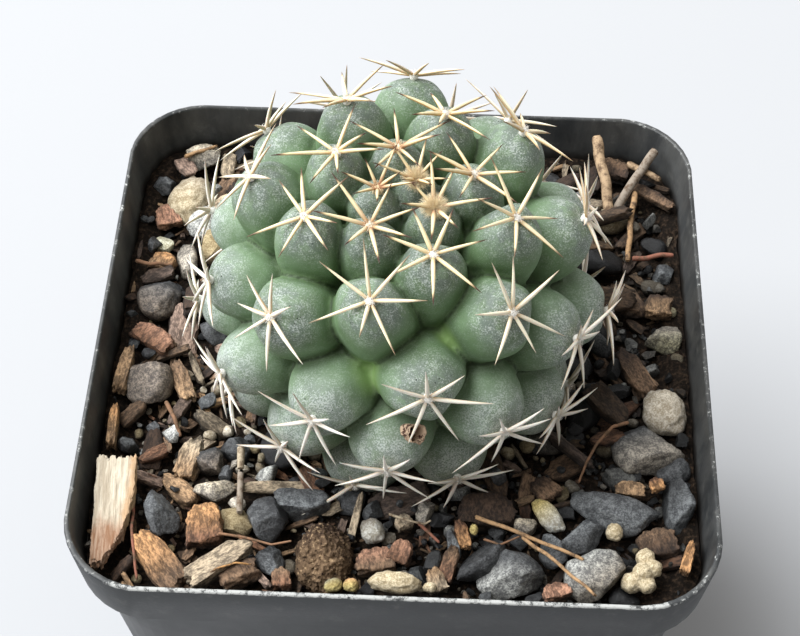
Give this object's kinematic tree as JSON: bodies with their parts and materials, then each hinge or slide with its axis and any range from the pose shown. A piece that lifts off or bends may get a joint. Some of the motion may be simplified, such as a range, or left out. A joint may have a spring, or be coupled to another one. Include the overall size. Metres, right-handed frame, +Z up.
{
  "type": "potted globular cactus",
  "caption": "Small globular cactus with rounded tubercles and star-shaped spine clusters, in a square plastic nursery pot of bark and gravel.",
  "frame": {"origin": "centre of the pot's flat underside", "axes": "+Z up through the plant, -Y towards the side of the pot that faces the viewer in the picture, +X to the right in it"},
  "size_m": [0.07, 0.07, 0.0966],
  "materials": {
    "pot_plastic": "satin",
    "soil": "rough",
    "splinter_wood": "raw",
    "bark": "rough",
    "grey_stone": "rough",
    "pale_stone": "rough",
    "cactus_skin": "matte bloom",
    "spines": "satin"
  },
  "bodies": {
    "root": {"pot": "pot_plastic", "soil": "soil", "wood_chip": "splinter_wood", "bark_chip": "bark", "bark_lump": "bark", "blue_grey_stone": "grey_stone", "grey_stone": "grey_stone", "long_dark_stone": "grey_stone", "brown_grey_stone": "grey_stone", "pumice_knob": "pale_stone", "pale_stone": "pale_stone", "cactus_body": "cactus_skin", "spine_star_01": "spines", "spine_star_02": "spines", "spine_star_03": "spines", "spine_star_04": "spines", "spine_star_05": "spines", "spine_star_06": "spines", "spine_star_07": "spines", "spine_star_08": "spines", "spine_star_09": "spines", "spine_star_10": "spines", "spine_star_11": "spines", "spine_star_12": "spines", "spine_star_13": "spines", "spine_star_14": "spines", "spine_star_15": "spines", "spine_star_16": "spines", "spine_star_17": "spines", "spine_star_18": "spines", "spine_star_19": "spines", "spine_star_20": "spines", "spine_star_21": "spines", "spine_star_22": "spines", "spine_star_23": "spines", "spine_star_24": "spines", "spine_star_25": "spines", "spine_star_26": "spines", "spine_star_27": "spines", "spine_star_28": "spines", "spine_star_29": "spines", "spine_star_30": "spines", "spine_star_31": "spines", "spine_star_32": "spines", "spine_star_33": "spines", "spine_star_34": "spines", "spine_star_35": "spines", "spine_star_36": "spines", "spine_star_37": "spines", "spine_star_38": "spines", "spine_star_39": "spines", "spine_star_40": "spines", "spine_star_41": "spines", "spine_star_42": "spines", "spine_star_43": "spines", "spine_star_44": "spines", "spine_star_45": "spines", "spine_star_46": "spines", "spine_star_47": "spines"}
  },
  "joints": []
}
